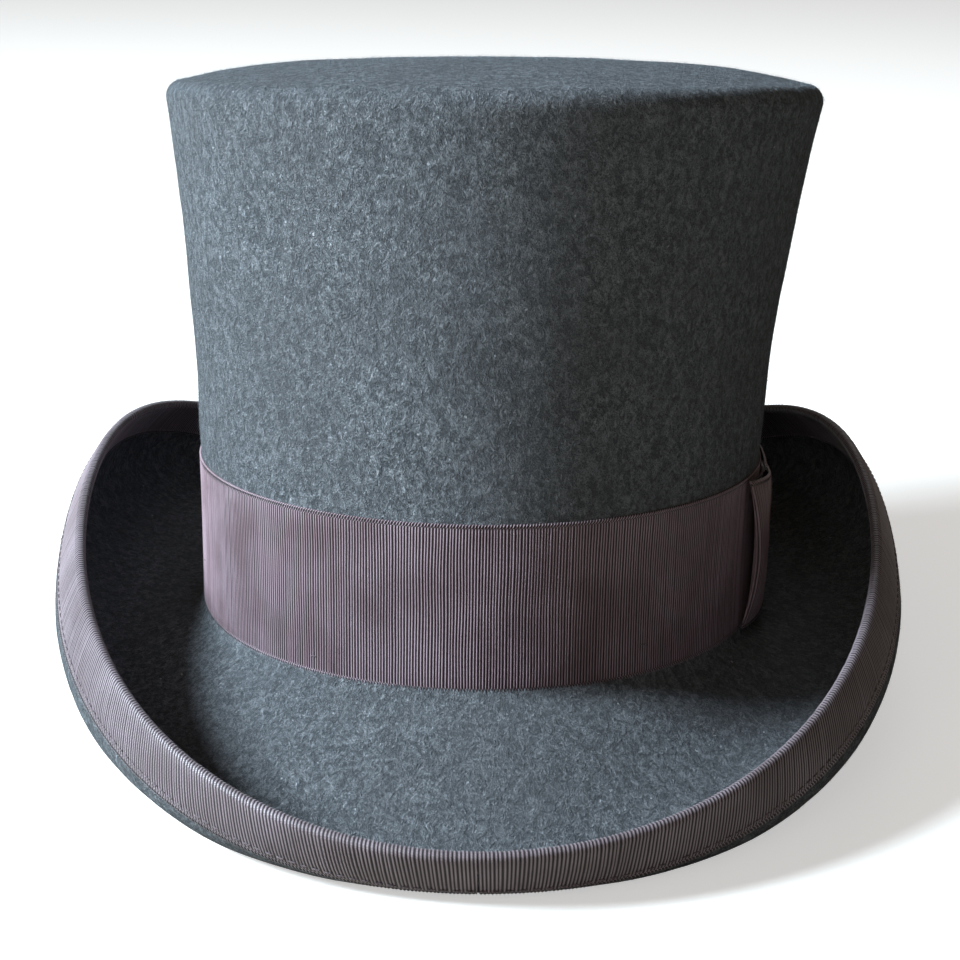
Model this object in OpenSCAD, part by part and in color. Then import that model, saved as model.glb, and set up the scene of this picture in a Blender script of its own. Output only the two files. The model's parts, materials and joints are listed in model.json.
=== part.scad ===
// Felt top hat with a bell crown, a curled brim, a ribbon band with a side bow,
// a ribbon bound edge, a leather sweatband and a satin lining.
// The front of the hat faces -Y and the wearer's left is +X. It stands on its brim on z = 0, with
// the origin under the middle of its length and width.

/* [Crown] */
// Outside width of the crown where it meets the brim
base_width = 172; // [140:1:200]
// Outside length of the crown where it meets the brim, front to back
base_length = 212; // [185:1:240]
// Height of the crown wall above the brim, up to the rounded edge of the tip
crown_height = 154; // [120:1:190]
// How far the wall spreads outward between the brim and the tip
crown_flare = 13.2; // [4:0.2:22]
// How late the spread comes: 1 is a straight cone, more is a bell
flare_power = 2.2; // [1.2:0.1:3.5]
// Radius of the rounded edge of the tip
tip_radius = 5; // [3.5:0.5:10]
// Height that the soft tip swells up inside its rounded edge
tip_dome = 7; // [2:0.5:12]
// How far the tip sits toward the wearer's left
crown_side_lean = 4; // [0:0.5:8]
// Thickness of the felt
felt = 2.2; // [1.6:0.1:3]

/* [Brim] */
// Distance from the crown out to the rim, at the front
reach_front = 63; // [52:1:75]
// The same distance halfway between front and side
reach_front_quarter = 49; // [38:1:60]
// The same distance at the side
reach_side = 34; // [28:1:45]
// The same distance halfway between side and back
reach_back_quarter = 44; // [35:1:55]
// The same distance at the back
reach_back = 54; // [44:1:66]
// Height of the rim over the foot of the crown, at the front
rise_front = -21; // [-28:1:-12]
// The same height halfway between front and side
rise_front_quarter = 5; // [-4:1:12]
// The same height at the side
rise_side = 40; // [32:1:52]
// The same height halfway between side and back
rise_back_quarter = 37; // [30:1:50]
// The same height at the back
rise_back = 13; // [2:1:20]
// How much higher the back of the crown's foot is than its middle
foot_tilt = 4; // [0:0.5:8]

/* [Ribbon trim] */
// Height of the hat band
band_height = 46; // [30:1:55]
// Thickness of the ribbon
ribbon = 0.6; // [0.4:0.1:0.9]
// Width of the edge binding on the under side of the brim
binding_width = 14; // [10:0.5:18]
// Length of one stitch
stitch_length = 2.2; // [1.6:0.1:3]
// Distance from one stitch of the binding to the next
stitch_pitch = 3.3; // [2.8:0.1:5]

/* [Bow] */
// Length of the bow along the band
bow_length = 84; // [60:1:95]
// Height of the bow at its ends
bow_height = 44; // [28:1:50]
// Height of the bow where the wrap pinches it
bow_waist = 35; // [22:1:40]
// Width of the wrap
wrap_width = 13; // [8:1:18]
// Place of the bow's middle, in degrees around the hat from the side toward the back
bow_place = -4; // [-10:1:20]

/* [Inside] */
// Height of the sweatband
sweatband_height = 52; // [40:1:60]
// Thickness of the sweatband leather
leather = 1.1; // [0.8:0.1:1.4]
// Thickness of the lining
satin = 0.4; // [0.3:0.05:0.6]
// Space between the felt and the lining in the upper crown
lining_space = 3; // [2:0.5:6]

/* [Hidden] */

around_steps = 72;
gap = 0.05;
half_width = base_width / 2;
half_length = base_length / 2;

// Brim values in the order front, front quarter, side, back quarter, back
reach = [reach_front, reach_front_quarter, reach_side, reach_back_quarter, reach_back];
rise = [rise_front, rise_front_quarter, rise_side, rise_back_quarter, rise_back];
// Slope of the brim as it leaves the crown and at the rim, in degrees, in the same order
leave_angle = [-28, -39, -8, 8, -16];
rim_angle = [62, 115, 120, 138, 80];
// How far each slope carries on, as a part of the straight distance from crown to rim
leave_pull = [0.62, 0.9, 0.92, 0.8, 0.6];
rim_pull = [0.52, 0.7, 0.72, 0.66, 0.5];
curve_steps = 20;
plain_steps = 10;
binding_steps = 4;
edge_arc = 180;
edge_steps = 4;

wall_steps = 6;
flare_angle = atan(crown_flare * flare_power / crown_height);
corner_steps = 5;
inner_corner = tip_radius - felt;
tip_z = crown_height + tip_radius * (1 + sin(flare_angle)) + tip_dome;

band_foot = 1.2;

felt_colour = "#4b565c";
ribbon_colour = "#55464a";
thread_colour = "#3a3034";
leather_colour = "#3b2a20";
lining_colour = "#26262c";

// ---- Shape of the hat -------------------------------------------------------

// Smooth value around the hat through front, front quarter, side, back quarter and back
function wave(v, t) =
    let (
        quarters = (v[1] + v[3]) / 2,
        mains = (v[2] + (v[0] + v[4]) / 2) / 2,
        quarter_step = (v[3] - v[1]) / sqrt(2),
        main_step = (v[4] - v[0]) / 2
    )
    (quarters + mains) / 2
        + (quarter_step + main_step) / 2 * sin(t)
        + (v[2] - mains) * cos(2 * t)
        + (quarter_step - main_step) / 2 * sin(3 * t)
        + (mains - quarters) / 2 * cos(4 * t);

// Outward direction of the crown's foot oval, and a point at a distance d outside it
function oval_normal(t) =
    let (n = [cos(t) / half_width, sin(t) / half_length])
    n / norm(n);
function oval_point(d, t) =
    [half_width * cos(t), half_length * sin(t)] + d * oval_normal(t);

// Height of the line where crown and brim meet
function foot_z(t) = foot_tilt * sin(t);

// Point at distance d outside the foot oval and height h over the crown's foot
function crown_at(d, h, t) =
    let (
        part = min(max(h / crown_height, 0), 1),
        p = oval_point(d, t)
    )
    [p[0] + crown_side_lean * part * part, p[1], foot_z(t) * (1 - part) + h];

// How far the crown's outside stands out from its foot at height h
function spread(h) = crown_flare * pow(max(h / crown_height, 0), flare_power);

// Point on the crown wall, moved outward by d from the outside of the felt
function wall_at(d, h, t) = crown_at(spread(h) + d, h, t);

// Point on the rounded edge of the tip, for a corner of radius r around the same centre
function corner_at(r, angle, t) =
    crown_at(
        crown_flare - tip_radius * cos(flare_angle) + r * cos(angle),
        crown_height + tip_radius * sin(flare_angle) + r * sin(angle),
        t
    );

// The brim's upper face is a curve in (distance, height) from the crown's foot to the rim
function brim_curve(t) =
    let (
        rim = [wave(reach, t), wave(rise, t)],
        chord = norm(rim),
        leave = wave(leave_angle, t),
        arrive = wave(rim_angle, t)
    )
    [
        [0, 0],
        wave(leave_pull, t) * chord * [cos(leave), sin(leave)],
        rim - wave(rim_pull, t) * chord * [cos(arrive), sin(arrive)],
        rim
    ];
function curve_point(c, u) =
    pow(1 - u, 3) * c[0] + 3 * pow(1 - u, 2) * u * c[1]
        + 3 * (1 - u) * u * u * c[2] + pow(u, 3) * c[3];
function curve_way(c, u) =
    let (
        way = pow(1 - u, 2) * (c[1] - c[0]) + 2 * (1 - u) * u * (c[2] - c[1])
            + u * u * (c[3] - c[2])
    )
    way / norm(way);

// Length along a curve up to each of its steps, as pairs [length, u]
function curve_lengths(c, k = 0, done = 0) =
    k > curve_steps
        ? []
        : let (
            u = k / curve_steps,
            step = k == 0 ? 0 : norm(curve_point(c, u) - curve_point(c, u - 1 / curve_steps))
        )
        concat([[done + step, u]], curve_lengths(c, k + 1, done + step));

// Places along the brim, from the crown's foot to the rim: even steps, then the binding's steps
function brim_places(t) =
    let (
        lengths = curve_lengths(brim_curve(t)),
        whole = lengths[curve_steps][0],
        plain = whole - binding_width
    )
    [
        for (k = [0 : plain_steps - 1]) lookup(plain * k / plain_steps, lengths),
        for (k = [0 : binding_steps])
            lookup(plain + binding_width * k / binding_steps, lengths)
    ];
last_place = plain_steps + binding_steps;

// Point at a distance under the brim's upper face
function brim_at(t, u, depth) =
    let (
        c = brim_curve(t),
        way = curve_way(c, u),
        p = curve_point(c, u) + depth * [way[1], -way[0]]
    )
    concat(oval_point(p[0], t), [foot_z(t) + p[1]]);

// Point on the round edge of the brim, or outside it by a distance
function edge_at(t, out, angle) =
    let (
        c = brim_curve(t),
        way = curve_way(c, 1),
        down = [way[1], -way[0]],
        p = c[3] + felt / 2 * down
            + (felt / 2 + out) * (sin(angle) * way - cos(angle) * down)
    )
    concat(oval_point(p[0], t), [foot_z(t) + p[1]]);

// ---- Building solids from rings of points ----------------------------------

angles = [for (i = [0 : around_steps - 1]) i * 360 / around_steps];
places = [for (t = angles) brim_places(t)];

// One ring around the hat, from a function of the step's number
function ring(place) = [for (i = [0 : around_steps - 1]) place(i)];

// Triangles between two neighbouring rows of points, where each row is a closed ring
function between(a, b, n) = [
    for (i = [0 : n - 1])
        let (j = (i + 1) % n)
        each [[a * n + i, a * n + j, b * n + j], [a * n + i, b * n + j, b * n + i]]
];

// Solid bounded by rings one after another, with a flat cap on the first and the last
module capped(rings) {
    n = len(rings[0]);
    last = len(rings) - 1;
    polyhedron(
        points = [for (r = rings) each r],
        faces = concat(
            [[for (i = [n - 1 : -1 : 0]) i]],
            [for (k = [0 : last - 1]) each between(k, k + 1, n)],
            [[for (i = [0 : n - 1]) last * n + i]]
        )
    );
}

// Solid bounded by rings one after another, where the last one joins the first
module looped(rings) {
    n = len(rings[0]);
    count = len(rings);
    polyhedron(
        points = [for (r = rings) each r],
        faces = [for (k = [0 : count - 1]) each between(k, (k + 1) % count, n)]
    );
}

// Layer against the crown wall between two heights and two distances from the felt's outside
module wall_layer(low, high, inside, outside, steps) {
    heights = [for (k = [0 : steps]) low + (high - low) * k / steps];
    looped([
        for (k = [steps : -1 : 0]) ring(function (i) wall_at(outside, heights[k], angles[i])),
        for (k = [0 : steps]) ring(function (i) wall_at(inside, heights[k], angles[i]))
    ]);
}

// Round cord lying around the hat at a height, with its middle a distance from the felt's outside
module wall_cord(height, distance, radius, steps = 6) {
    looped([
        for (k = [0 : steps - 1])
            ring(function (i)
                wall_at(
                    distance + radius * cos(k * 360 / steps),
                    height - radius * sin(k * 360 / steps),
                    angles[i]
                ))
    ]);
}

// Small flat bar on a surface, given by along(length, off, height), and centred on its point.
// The corners run round the face that lies on the surface, then round the face above it.
module bar(along, length, height, near, far) {
    half = [[-1, -1], [1, -1], [1, 1], [-1, 1]];
    polyhedron(
        points = [
            for (off = [near, far])
                for (corner = half)
                    along(corner[0] * length / 2, off, corner[1] * height / 2)
        ],
        faces = [
            [0, 1, 2, 3], [7, 6, 5, 4], [0, 4, 5, 1],
            [1, 5, 6, 2], [2, 6, 7, 3], [3, 7, 4, 0]
        ]
    );
}

// The hat tips back until the front and the back of its brim both stand on z = 0
under_side = [
    for (i = [0 : around_steps - 1])
        for (k = [0 : last_place])
            brim_at(angles[i], places[i][k], felt + (k < plain_steps ? 0 : gap + ribbon))
];
under_front = [for (p = under_side) if (p[1] < 0) p];
under_back = [for (p = under_side) if (p[1] > 0) p];
function lowest(points, tip) = min([for (p = points) p[2] * cos(tip) - p[1] * sin(tip)]);
function level_tip(low, high, tries) =
    let (middle = (low + high) / 2)
    tries == 0
        ? middle
        : lowest(under_front, middle) < lowest(under_back, middle)
            ? level_tip(middle, high, tries - 1)
            : level_tip(low, middle, tries - 1);
most_tip = 20;
stand_angle = level_tip(0, most_tip, 16);
lift = -lowest(under_side, stand_angle);

// It is then slid along Y until the middle of its length is over the origin
edge_middles = [for (t = angles) edge_at(t, gap + ribbon, edge_arc / 2)];
edge_ys = [for (p = edge_middles) p[1] * cos(stand_angle) + p[2] * sin(stand_angle)];
slide = -(min(edge_ys) + max(edge_ys)) / 2;
module standing() {
    translate([0, slide, lift]) rotate([-stand_angle, 0, 0]) children();
}

// ---- Felt -------------------------------------------------------------------

// Rings of the domed tip as [share of the way out to its edge, share of the dome's height]. It is
// flat inside the first ring.
dome_rings = [[0.42, 1], [0.75, 0.56]];
tip_middle = [crown_side_lean, 0, tip_z - tip_dome];
function dome_at(place, drop, t) =
    let (edge = corner_at(tip_radius, 90, t))
    tip_middle + place[0] * (edge - tip_middle) + [0, 0, place[1] * tip_dome - drop];

module felt_body() {
    corner_angles = [
        for (k = [0 : corner_steps])
            90 - (90 + flare_angle) * k / corner_steps
    ];
    wall_heights = [for (k = [0 : wall_steps]) crown_height * k / wall_steps];
    color(felt_colour)
    standing()
    capped([
        for (place = dome_rings) ring(function (i) dome_at(place, 0, angles[i])),
        for (a = corner_angles) ring(function (i) corner_at(tip_radius, a, angles[i])),
        for (k = [wall_steps - 1 : -1 : 0])
            ring(function (i) wall_at(0, wall_heights[k], angles[i])),
        for (k = [1 : last_place]) ring(function (i) brim_at(angles[i], places[i][k], 0)),
        for (k = [1 : edge_steps - 1])
            ring(function (i) edge_at(angles[i], 0, edge_arc * k / edge_steps)),
        for (k = [last_place : -1 : 0])
            ring(function (i) brim_at(angles[i], places[i][k], felt)),
        for (k = [0 : wall_steps - 1])
            ring(function (i) wall_at(-felt, wall_heights[k] + (k == 0 ? 1 : 0), angles[i])),
        for (k = [corner_steps : -1 : 0])
            ring(function (i) corner_at(inner_corner, corner_angles[k], angles[i])),
        for (k = [1, 0]) ring(function (i) dome_at(dome_rings[k], felt, angles[i]))
    ]);
}

// ---- Hat band and bow ---------------------------------------------------------

band_out = gap + ribbon;

module hat_band() {
    color(ribbon_colour)
    standing()
    wall_layer(band_foot, band_foot + band_height, gap, band_out, 3);
}

// Degrees around the hat for a length along the band, near the side of the hat
function side_degrees(length) = length / half_length * 180 / PI;

// Ribbon bow lying against a wall. A point is given by its length along the wall, its distance
// off it and its height. The ribbon goes once round both loops, and the waist is pinched.
bow_steps = 32;
bow_rows = 4;
module ribbon_bow(along, length, full, waist, near, stand, thick) {
    function half_height(a) =
        (waist + (full - waist) * pow(abs(cos(a)), 0.7)) / 2;
    function bulge(a, row) =
        1 - 0.75 * pow(cos(a), 2) * pow(2 * row / bow_rows - 1, 2);
    function off(a) =
        near + stand * pow(cos(a), 2)
            + sin(a) * (1.5 * thick + 0.8 * stand * pow(cos(a), 2));
    function point(a, row, side) =
        along(
            length / 2 * cos(a) + side * thick / 2 * cos(a),
            bulge(a, row) * off(a) + side * thick / 2 * sin(a),
            half_height(a) * (2 * row / bow_rows - 1)
        );
    looped([
        for (k = [0 : bow_steps - 1])
            let (a = k * 360 / bow_steps)
            [
                for (row = [0 : bow_rows]) point(a, row, -1),
                for (row = [bow_rows : -1 : 0]) point(a, row, 1)
            ]
    ]);
}

// Strap that goes once round the waist of a bow
module bow_strap(along, width, waist, near, far, thick) {
    strap_steps = 24;
    middle = (near + far) / 2;
    half_thick = (far - near) / 2;
    function point(a, side, end) =
        along(
            end * width / 2,
            middle + (half_thick + side * thick / 2) * sin(a) * min(1, 2.4 * abs(sin(a)) + 0.35),
            (waist / 2 + 0.6 + side * thick / 2) * sign(cos(a)) * pow(abs(cos(a)), 0.35)
        );
    looped([
        for (k = [0 : strap_steps - 1])
            let (a = (k + 0.5) * 360 / strap_steps)
            [point(a, 1, -1), point(a, 1, 1), point(a, -1, 1), point(a, -1, -1)]
    ]);
}

bow_middle_height = band_foot + band_height / 2;
function on_band(length, off, height) =
    wall_at(
        band_out + off,
        bow_middle_height + height,
        bow_place + side_degrees(length)
    );
bow_near = 2.0;
bow_stand = 3.4;

module bow_loops() {
    color(ribbon_colour)
    standing()
    ribbon_bow(
        function (l, o, h) on_band(l, o, h),
        bow_length, bow_height, bow_waist, bow_near, bow_stand, ribbon
    );
}

module bow_wrap() {
    color(ribbon_colour)
    standing()
    bow_strap(
        function (l, o, h) on_band(l, o, h),
        wrap_width, bow_waist, gap + ribbon / 2, 2 * bow_near + 0.3, ribbon
    );
}

// Short stitches that hold the band and stand up from it, as [degrees around, height on it]
tack_places = [[-165, 15], [-122, 5], [-58, 9], [60, 8], [125, 9]];
thread = 0.4;
module band_tacks() {
    color(thread_colour)
    standing()
    for (tack = tack_places)
        bar(
            function (l, o, h)
                wall_at(band_out + o, band_foot + tack[1] + h, tack[0] + side_degrees(l)),
            stitch_length, thread, gap, gap + thread
        );
}

// ---- Binding of the brim ------------------------------------------------------

// Rings of the binding's section, at a distance outside the felt, from the upper face around
// the edge to the under face
function binding_side(out) = [
    for (k = [last_place - binding_steps : last_place])
        ring(function (i) brim_at(angles[i], places[i][k], -out)),
    for (k = [1 : edge_steps - 1])
        ring(function (i) edge_at(angles[i], out, edge_arc * k / edge_steps)),
    for (k = [last_place : -1 : last_place - binding_steps])
        ring(function (i) brim_at(angles[i], places[i][k], felt + out))
];
module brim_binding() {
    inner = binding_side(gap);
    outer = binding_side(gap + ribbon);
    color(ribbon_colour)
    standing()
    looped(concat(outer, [for (k = [len(inner) - 1 : -1 : 0]) inner[k]]));
}

// A row of stitches goes round the under face, just inside the binding's lower border
stitch_border = 2.6;
// Length of the rim's under side, from the places where the stitches go
stitch_line = [
    for (t = angles)
        let (lengths = curve_lengths(brim_curve(t)))
        lookup(lengths[curve_steps][0] - binding_width + stitch_border, lengths)
];
function stitch_place(t) =
    let (
        step = t * around_steps / 360,
        low = floor(step),
        part = step - low,
        a = stitch_line[(low + around_steps) % around_steps],
        b = stitch_line[(low + 1 + around_steps) % around_steps]
    )
    a * (1 - part) + b * part;
stitch_ring = [for (i = [0 : around_steps - 1]) brim_at(angles[i], stitch_line[i], felt)];
stitch_steps = [
    for (i = [0 : around_steps - 1]) norm(stitch_ring[(i + 1) % around_steps] - stitch_ring[i])
];
function total(v, k = 0) = k == len(v) ? 0 : v[k] + total(v, k + 1);
function running(v, k = 0, done = 0) =
    k > len(v)
        ? []
        : concat([[done, k * 360 / len(v)]], running(v, k + 1, done + (k < len(v) ? v[k] : 0)));
binding_stitch_count = floor(total(stitch_steps) / stitch_pitch);
stitch_angles = running(stitch_steps);

module binding_stitches() {
    under = felt + gap + ribbon + gap;
    pitch = total(stitch_steps) / binding_stitch_count;
    color(thread_colour)
    standing()
    for (k = [0 : binding_stitch_count - 1])
        let (
            start = lookup(k * pitch, stitch_angles),
            finish = lookup(k * pitch + stitch_length, stitch_angles)
        )
        bar(
            function (l, o, h)
                let (t = l < 0 ? finish : start)
                brim_at(t, stitch_place(t) - h / 80, under + o),
            stitch_length, thread, 0, thread
        );
}

// ---- Sweatband ----------------------------------------------------------------

sweatband_foot = 2.6;
sweatband_out = -felt - gap - satin - 2 * gap;
sweatband_in = sweatband_out - leather;
reed_radius = 0.9;

module sweatband() {
    color(leather_colour)
    standing()
    wall_layer(sweatband_foot, sweatband_foot + sweatband_height, sweatband_in, sweatband_out, 2);
}

// A thin cord stiffens the sweatband's lower edge
module sweatband_reed() {
    color(leather_colour)
    standing()
    wall_cord(sweatband_foot - gap - reed_radius, -felt - gap - reed_radius, reed_radius);
}

// One row of stitches joins the sweatband to the felt
sweatband_stitch_count = 96;
sweatband_stitch_height = 3;
module sweatband_stitches() {
    color(thread_colour)
    standing()
    for (k = [0 : sweatband_stitch_count - 1])
        bar(
            function (l, o, h)
                wall_at(
                    sweatband_in - o,
                    sweatband_foot + sweatband_stitch_height + h,
                    (k - l / (stitch_length * 1.6)) * 360 / sweatband_stitch_count
                ),
            stitch_length, thread, gap, gap + thread
        );
}

// A small ribbon bow covers the sweatband's seam at the back of the hat
small_bow_length = 30;
small_bow_height = 9;
small_bow_waist = 6.5;
small_bow_width = 4.5;
small_ribbon = 0.3;
small_bow_middle = 13;
function on_sweatband(length, off, height) =
    wall_at(
        sweatband_in - off,
        sweatband_foot + small_bow_middle + height,
        90 + length / half_width * 180 / PI
    );
small_bow_near = 1.0;
small_bow_stand = 1.5;

module sweatband_bow() {
    color(ribbon_colour)
    standing()
    ribbon_bow(
        function (l, o, h) on_sweatband(-l, o, h),
        small_bow_length, small_bow_height, small_bow_waist,
        small_bow_near, small_bow_stand, small_ribbon
    );
}

module sweatband_bow_wrap() {
    color(ribbon_colour)
    standing()
    bow_strap(
        function (l, o, h) on_sweatband(-l, o, h),
        small_bow_width, small_bow_waist, gap + small_ribbon / 2,
        2 * small_bow_near + 0.15, small_ribbon
    );
}

// A plain label for the size lies on the sweatband beside the bow
label_width = 20;
label_height = 13;
label_place = 62;
label_thick = 0.25;
label_steps = 4;
module size_label() {
    function point(k, out, up) =
        wall_at(
            sweatband_in - out,
            sweatband_foot + sweatband_height * 0.62 + up * label_height / 2,
            label_place + (k / label_steps - 0.5) * label_width / half_width * 180 / PI
        );
    color("#d8d4c8")
    standing()
    capped([
        for (k = [0 : label_steps])
            [
                point(k, gap, -1), point(k, gap, 1),
                point(k, gap + label_thick, 1), point(k, gap + label_thick, -1)
            ]
    ]);
}

// ---- Lining --------------------------------------------------------------------

lining_tuck = 12;
lining_foot = sweatband_foot + sweatband_height - lining_tuck;
piping_radius = 1.2;
lining_top = crown_height - lining_space;
lining_steps = 6;

// The lining lies against the felt up to here, just over the sweatband's top
lining_free = lining_foot + lining_tuck + 3;

// How far the lining stands off the felt at a height: nothing behind the sweatband
function lining_off(h) =
    gap + lining_space * min(1, max(0, (h - lining_free) / (2 * lining_tuck)));

module lining_wall() {
    top = lining_top - piping_radius - gap;
    heights = [
        lining_foot,
        for (k = [1 : lining_steps])
            lining_free + (top - lining_free) * (k - 1) / (lining_steps - 1)
    ];
    color(lining_colour)
    standing()
    looped([
        for (k = [lining_steps : -1 : 0])
            ring(function (i) wall_at(-felt - lining_off(heights[k]), heights[k], angles[i])),
        for (k = [0 : lining_steps])
            ring(function (i)
                wall_at(-felt - lining_off(heights[k]) - satin, heights[k], angles[i]))
    ]);
}

// Cord in the seam between the lining's wall and its tip
module lining_piping() {
    color(lining_colour)
    standing()
    wall_cord(lining_top, -felt - lining_space - piping_radius, piping_radius);
}

module lining_tip() {
    edge = -felt - lining_space - 2 * piping_radius - 2 * gap;
    color(lining_colour)
    standing()
    capped([
        for (up = [satin / 2, -satin / 2])
            ring(function (i) wall_at(edge, lining_top + up, angles[i]))
    ]);
}

felt_body();
hat_band();
bow_loops();
bow_wrap();
band_tacks();
brim_binding();
binding_stitches();
sweatband();
sweatband_reed();
sweatband_stitches();
sweatband_bow();
sweatband_bow_wrap();
size_label();
lining_wall();
lining_tip();
lining_piping();
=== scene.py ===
# %% Load the hat's frame
import json
import math
from functools import partial

import bpy
import numpy as np
from mathutils import Matrix, Vector, noise

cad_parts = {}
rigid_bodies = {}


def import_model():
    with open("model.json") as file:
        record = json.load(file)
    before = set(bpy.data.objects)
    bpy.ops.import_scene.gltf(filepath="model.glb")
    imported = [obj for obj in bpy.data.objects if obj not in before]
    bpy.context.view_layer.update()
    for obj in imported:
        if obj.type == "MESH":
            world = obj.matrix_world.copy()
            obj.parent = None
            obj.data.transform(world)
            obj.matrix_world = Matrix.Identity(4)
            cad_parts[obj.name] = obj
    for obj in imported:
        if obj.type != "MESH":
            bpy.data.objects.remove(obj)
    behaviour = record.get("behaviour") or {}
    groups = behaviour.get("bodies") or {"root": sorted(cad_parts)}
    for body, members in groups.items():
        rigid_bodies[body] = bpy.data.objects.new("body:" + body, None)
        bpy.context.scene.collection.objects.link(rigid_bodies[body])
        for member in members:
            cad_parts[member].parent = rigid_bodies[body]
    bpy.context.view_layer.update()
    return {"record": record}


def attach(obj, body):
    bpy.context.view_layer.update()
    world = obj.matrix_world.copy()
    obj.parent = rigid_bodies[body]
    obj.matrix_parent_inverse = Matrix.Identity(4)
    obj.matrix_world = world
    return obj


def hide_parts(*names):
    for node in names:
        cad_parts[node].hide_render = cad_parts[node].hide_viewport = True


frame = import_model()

# %% [markdown]
# # A felt top hat
#
# The real hat starts as one cone of wool felt. It is pulled over a block to make the crown and the
# flat brim, then the brim is curled by hand. Ribbon goes round the crown and over the brim's edge, and
# a leather band and a satin lining go inside. We build it in the same order.
#
# Every part follows the same curves: the oval of the head, the bell of the crown and the roll of the
# brim. So we first write those curves as a few small functions. They work on arrays, in
# millimetres and degrees, in the hat's own upright frame. A last function stands the hat on its brim.

# %% Sizes of the hat, in millimetres and degrees
MM = 0.001
HALF_WIDTH = 86.0
HALF_LENGTH = 106.0
CROWN_HEIGHT = 154.0
FLARE = 13.2
FLARE_POWER = 2.2
TIP_RADIUS = 5.0
TIP_DOME = 7.0
SIDE_LEAN = 4.0
FELT = 2.2
FOOT_TILT = 4.0
# Brim values are in the order front, front quarter, side, back quarter, back
REACH = (63, 49, 34, 44, 54)
RISE = (-21, 5, 40, 37, 13)
LEAVE_ANGLE = (-28, -39, -8, 8, -16)
RIM_ANGLE = (62, 115, 120, 138, 80)
LEAVE_PULL = (0.62, 0.9, 0.92, 0.8, 0.6)
RIM_PULL = (0.52, 0.7, 0.72, 0.66, 0.5)

mounts = {m["name"]: m for m in frame["record"]["mounts"]}
tip_axis = Vector(mounts["crown_tip_face"]["axis"])
STAND = math.degrees(math.atan2(tip_axis.y, tip_axis.z))
FOOT = np.array(mounts["head_opening"]["pos_m"])
print("the hat tips back", round(STAND, 2), "degrees as it stands")

# %% The oval of the head and the bell of the crown


def wave(values, t):
    """A smooth value around the hat through the five values given."""
    front, front_quarter, side, back_quarter, back = values
    quarters = (front_quarter + back_quarter) / 2
    mains = (side + (front + back) / 2) / 2
    quarter_step = (back_quarter - front_quarter) / math.sqrt(2)
    main_step = (back - front) / 2
    r = np.radians(t)
    return (
        (quarters + mains) / 2
        + (quarter_step + main_step) / 2 * np.sin(r)
        + (side - mains) * np.cos(2 * r)
        + (quarter_step - main_step) / 2 * np.sin(3 * r)
        + (mains - quarters) / 2 * np.cos(4 * r)
    )


def oval(d, t):
    """Points at a distance d outside the oval of the crown's foot. t is 0 at the wearer's left."""
    r = np.radians(t)
    nx, ny = np.cos(r) / HALF_WIDTH, np.sin(r) / HALF_LENGTH
    long = np.hypot(nx, ny)
    return HALF_WIDTH * np.cos(r) + d * nx / long, HALF_LENGTH * np.sin(r) + d * ny / long


def foot_z(t):
    return FOOT_TILT * np.sin(np.radians(t))


def standing(x, y, z):
    """Points of the upright hat, in metres, as it stands on its brim."""
    x, y, z = np.broadcast_arrays(x, y, z)
    a = math.radians(STAND)
    stood = np.stack([x, y * math.cos(a) + z * math.sin(a), z * math.cos(a) - y * math.sin(a)], -1)
    return stood * MM + FOOT


def crown(d, h, t):
    part = np.clip(h / CROWN_HEIGHT, 0, 1)
    x, y = oval(d, t)
    return standing(x + SIDE_LEAN * part**2, y, foot_z(t) * (1 - part) + h)


def wall(out, h, t):
    """Points a distance out from the felt of the crown's wall, at height h."""
    return crown(FLARE * np.clip(h / CROWN_HEIGHT, 0, None) ** FLARE_POWER + out, h, t)


FLARE_ANGLE = math.degrees(math.atan(FLARE * FLARE_POWER / CROWN_HEIGHT))
CORNER_D = FLARE - TIP_RADIUS * math.cos(math.radians(FLARE_ANGLE))
CORNER_H = CROWN_HEIGHT + TIP_RADIUS * math.sin(math.radians(FLARE_ANGLE))


def corner(radius, angle, t):
    """Points on the rounded edge of the tip, where angle 90 is straight up."""
    a = math.radians(angle)
    return crown(CORNER_D + radius * math.cos(a), CORNER_H + radius * math.sin(a), t)


print("the crown is", round(CORNER_H + TIP_RADIUS + TIP_DOME, 1), "mm high")

# %% The roll of the brim


def brim_rail(t):
    """The four points of the curve that the brim's upper face follows, at each angle t."""
    rim = np.stack([wave(REACH, t), wave(RISE, t)], -1)
    chord = np.linalg.norm(rim, axis=-1)
    leave, arrive = np.radians(wave(LEAVE_ANGLE, t)), np.radians(wave(RIM_ANGLE, t))
    out = (wave(LEAVE_PULL, t) * chord)[:, None] * np.stack([np.cos(leave), np.sin(leave)], -1)
    back = (wave(RIM_PULL, t) * chord)[:, None] * np.stack([np.cos(arrive), np.sin(arrive)], -1)
    return np.zeros_like(rim), out, rim - back, rim


def rail_point(c, u):
    u = u[:, None]
    p = (1 - u) ** 3 * c[0] + 3 * (1 - u) ** 2 * u * c[1] + 3 * (1 - u) * u**2 * c[2] + u**3 * c[3]
    way = (1 - u) ** 2 * (c[1] - c[0]) + 2 * (1 - u) * u * (c[2] - c[1]) + u**2 * (c[3] - c[2])
    return p, way / np.linalg.norm(way, axis=-1, keepdims=True)


RAIL_STEPS = np.linspace(0, 1, 81)


def rail_lengths(t):
    """How far along the brim each step of the curve is, for each angle t."""
    c = brim_rail(t)
    points = np.stack([rail_point(c, np.full(len(t), u))[0] for u in RAIL_STEPS], 1)
    steps = np.linalg.norm(np.diff(points, axis=1), axis=-1)
    return np.concatenate([np.zeros((len(t), 1)), np.cumsum(steps, 1)], 1)


def round_hat(p, t):
    """Takes points of the brim's profile, out and up, to their places around the hat."""
    x, y = oval(p[:, 0], t)
    return standing(x, y, foot_z(t) + p[:, 1])


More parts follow.
